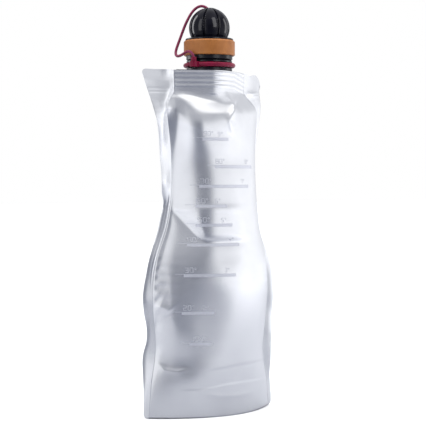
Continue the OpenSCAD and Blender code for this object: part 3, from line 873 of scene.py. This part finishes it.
def make_knob():
    """The fluted ball with the hollow round its cord hole, and the thin flange under it."""
    cols, rows = 400, 130
    angle = np.arange(cols) * 360 / cols
    tilt = np.linspace(-35.5, 89.6, rows)
    a, t = np.meshgrid(angle, tilt)
    r = ball_radius(a)
    ar, tr = np.radians(a), np.radians(t)
    way = np.stack([np.cos(tr) * np.cos(ar), np.cos(tr) * np.sin(ar), np.sin(tr)], axis=2)
    dish = DISH_OUT * CORD_WAY + np.array([0, 0, DISH_UP])
    along = way @ dish
    gap = along**2 - (dish @ dish) + DISH_R**2
    missed = 99
    hit = np.where(gap > 0, along - np.sqrt(np.maximum(gap, 0)), missed)
    r = soft_min(r, hit, 0.15)
    points = way * r[..., None] + np.array([0, 0, BALL_Z])
    faces = grid_faces(rows, cols, closed=True)
    faces.append(tuple(range((rows - 1) * cols, rows * cols)))
    base = len(points.reshape(-1, 3))
    fine = np.arange(0, 360, 3)
    ring = [(pr * math.cos(math.radians(f)), pr * math.sin(math.radians(f)), FLANGE_Z + pz)
            for pr, pz in FLANGE for f in fine]
    verts = np.concatenate([points.reshape(-1, 3), np.array(ring)])
    faces += grid_faces(len(FLANGE), len(fine), base, flip=True, closed=True)
    knob = mesh_object("fluted_knob", verts, faces, KNOB_BLACK)
    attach(knob, "cap")
    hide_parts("knob")


make_knob()


# ---------------------------------------------------------------- CAD nodes that stay
STAYING = {"spout": SPOUT_BLACK, "cap_base": SPOUT_BLACK, "cap_band": BAND_TAN, "tether_ring": RING_RED,
           "cord_crimp": RING_RED, "cord_knot": CORD, "seal": SEAL_GREY}
for node_name, node_material in STAYING.items():
    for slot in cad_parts[node_name].material_slots:
        slot.material = node_material


# ---------------------------------------------------------------- floor, light
def azimuth(tree, vector):
    """A vector's turn round the vertical, 0 to 1 for -180 to 180 degrees from the front, and its height."""
    split = add_node(tree, "ShaderNodeSeparateXYZ")
    tree.links.new(vector, split.inputs["Vector"])
    flip = add_node(tree, "ShaderNodeMath", operation="MULTIPLY")
    flip.inputs[1].default_value = -1.0
    tree.links.new(split.outputs["Y"], flip.inputs[0])
    turn = add_node(tree, "ShaderNodeMath", operation="ARCTAN2")
    tree.links.new(split.outputs["X"], turn.inputs[0])
    tree.links.new(flip.outputs[0], turn.inputs[1])
    return spread(tree, turn.outputs[0], -math.pi, math.pi), split.outputs["Z"]


def spread(tree, value, low, high):
    """0 at low and 1 at high, straight between."""
    node = add_node(tree, "ShaderNodeMapRange")
    node.inputs["From Min"].default_value = low
    node.inputs["From Max"].default_value = high
    tree.links.new(value, node.inputs["Value"])
    return node.outputs["Result"]


COOL = (-0.03, -0.015, 0.035)         # what makes a grey cool, added to its red, green and blue


def around(tree, turn, tones, scale=1.0):
    """A cool grey for each (degrees, brightness) round the room."""
    return ramp(tree, turn, [((d + 180) / 360, tuple((v + c) * scale for c in COOL)) for d, v in tones])


def mix(tree, factor, first, second):
    """The first colour at 0 and the second at 1; either may be a socket or a plain colour."""
    node = add_node(tree, "ShaderNodeMix", data_type="RGBA")
    tree.links.new(factor, node.inputs[0])
    for socket, colour in ((node.inputs[6], first), (node.inputs[7], second)):
        if isinstance(colour, tuple):
            socket.default_value = (*colour, 1.0)
        else:
            tree.links.new(colour, socket)
    return node.outputs[2]


# The studio's brightness at each angle round the room, in degrees from the bottle's front: dark where the
# photographer stands and bright to both sides. WALLS is at eye level, CEILING above it, TABLE the floor an
# arm's length out and FOOT the floor under the bottle; the floor's tones are painted light and shade in its
# colour.
WALLS = [(-180, 0.6), (-115, 0.9), (-75, 1.08), (-60, 0.98), (-50, 0.3), (-34, 0.22), (-20, 0.3),
         (-10, 0.54), (1, 1.06), (40, 1.28), (92, 1.18), (122, 0.88), (146, 0.62), (180, 0.6)]
TABLE = [(-180, 0.5), (-100, 0.8), (-80, 0.76), (-66, 0.62), (-58, 0.45), (-50, 0.14), (-20, 0.15),
         (-4, 0.34), (12, 0.68), (26, 0.84), (48, 0.88), (86, 0.84), (112, 0.64), (140, 0.48), (180, 0.48)]
CEILING = [(-180, 0.5), (-120, 0.75), (-80, 1.0), (-62, 0.85), (-50, 0.5), (20, 0.52), (60, 0.7),
           (110, 0.68), (150, 0.6), (180, 0.5)]
FOOT = [(-180, 0.5), (-80, 0.6), (-30, 0.58), (0, 0.53), (40, 0.56), (110, 0.62), (180, 0.55)]
FLOOR_LIGHT = 1.38                    # how much of its colour the floor gives back under these lights
FLOOR_HALF = 8.0
PAPER = (0.96, 0.96, 0.965)


def make_floor():
    """White paper to the camera. To other rays its colour is painted studio light and shade by direction,
    which the film mirrors: FOOT, then TABLE, then WALLS.
    """
    data = bpy.data.meshes.new("floor")
    corners = [(x * FLOOR_HALF, y * FLOOR_HALF, 0) for x, y in ((-1, -1), (1, -1), (1, 1), (-1, 1))]
    data.from_pydata(corners, [], [(0, 1, 2, 3)])
    floor = link("floor", data)
    material, tree, shader = new_material("floor_white")
    where = add_node(tree, "ShaderNodeTexCoord").outputs["Object"]
    turn, _ = azimuth(tree, where)
    reach = add_node(tree, "ShaderNodeVectorMath", operation="LENGTH")
    tree.links.new(where, reach.inputs[0])
    # Painted light and shade: the floor's colour for reflected rays follows the studio's brightness round
    # the room.
    foot, table, walls = [around(tree, turn, tones, 1 / FLOOR_LIGHT) for tones in (FOOT, TABLE, WALLS)]
    near = mix(tree, spread(tree, reach.outputs["Value"], 0.2, 0.62), foot, table)
    seen = mix(tree, spread(tree, reach.outputs["Value"], 0.8, 2.0), near, walls)
    rays = add_node(tree, "ShaderNodeLightPath")
    tree.links.new(mix(tree, rays.outputs["Is Camera Ray"], seen, PAPER), shader.inputs["Base Color"])
    shader.inputs["Roughness"].default_value = 0.4
    shader.inputs["Specular IOR Level"].default_value = 0.15
    data.materials.append(material)


def make_world():
    """The studio round the bottle, with a soft patch of light overhead. To the camera it is plain white."""
    world = bpy.data.worlds.new("studio")
    bpy.context.scene.world = world
    world.use_nodes = True
    tree = world.node_tree
    tree.nodes.clear()
    turn, up = azimuth(tree, add_node(tree, "ShaderNodeTexCoord").outputs["Generated"])
    rise = ramp(tree, up, [(0.12, (0, 0, 0)), (0.36, (0.75, 0.75, 0.75)), (0.65, (1, 1, 1))])
    overhead = ramp(tree, up, [(0.68, (0, 0, 0)), (0.78, (1, 1, 1))])
    ceiling = mix(tree, overhead, around(tree, turn, CEILING), (1.4, 1.4, 1.42))
    room = mix(tree, rise, around(tree, turn, WALLS), ceiling)
    studio = add_node(tree, "ShaderNodeBackground")
    tree.links.new(room, studio.inputs["Color"])
    white = add_node(tree, "ShaderNodeBackground")
    white.inputs["Color"].default_value = (1, 1, 1, 1)
    rays = add_node(tree, "ShaderNodeLightPath")
    pick = add_node(tree, "ShaderNodeMixShader")
    tree.links.new(rays.outputs["Is Camera Ray"], pick.inputs["Fac"])
    tree.links.new(studio.outputs[0], pick.inputs[1])
    tree.links.new(white.outputs[0], pick.inputs[2])
    out = add_node(tree, "ShaderNodeOutputWorld")
    tree.links.new(pick.outputs[0], out.inputs["Surface"])


def area_light(name, place, target, size, power, seen_in_gloss=True):
    """A rectangular soft light that faces its target."""
    data = bpy.data.lights.new(name, "AREA")
    data.shape = "RECTANGLE"
    data.size, data.size_y = size
    data.energy = power
    lamp = link(name, data)
    lamp.location = place
    lamp.rotation_euler = (Vector(target) - Vector(place)).to_track_quat("-Z", "Y").to_euler()
    lamp.visible_glossy = seen_in_gloss
    return lamp


# Soft boxes round the cap: degrees round from the front, degrees up, width and height, and power
CAP_BOXES = {"box_left": (-84, 4, (0.45, 1.9), 15.0), "box_right": (2, 28, (0.5, 1.1), 17.0),
             "box_side": (70, 2, (0.35, 1.4), 9.0), "box_rear": (-154, 2, (0.4, 2.0), 22.0)}
CAP_BOX_REACH = 1.1


def cap_lights():
    """Soft boxes that only the black plastic parts receive, as bright windows in their gloss."""
    group = bpy.data.collections.new("cap_parts")
    for name in ("fluted_knob", "cap_base", "spout"):
        group.objects.link(bpy.data.objects[name])
    top = Vector((0, 0, BALL_Z)) * MM
    for name, (turn, climb, size, power) in CAP_BOXES.items():
        turn, climb = math.radians(turn), math.radians(climb)
        way = Vector((math.sin(turn) * math.cos(climb), -math.cos(turn) * math.cos(climb), math.sin(climb)))
        lamp = area_light(name, top + way * CAP_BOX_REACH, top, size, power)
        lamp.light_linking.receiver_collection = group


def sky_light():
    """Even soft light from straight above, for the paper and the matt parts; it leaves no highlight."""
    data = bpy.data.lights.new("overhead", "SUN")
    data.energy = 2.3
    data.angle = math.radians(80)
    lamp = link("overhead", data)
    lamp.visible_glossy = False


make_floor()
make_world()
area_light("key_right", (1.2, -0.9, 0.9), (0, 0, 0.16), (0.5, 0.9), 5.0, seen_in_gloss=False)
cap_lights()
sky_light()

bpy.context.scene.view_settings.view_transform = "Standard"
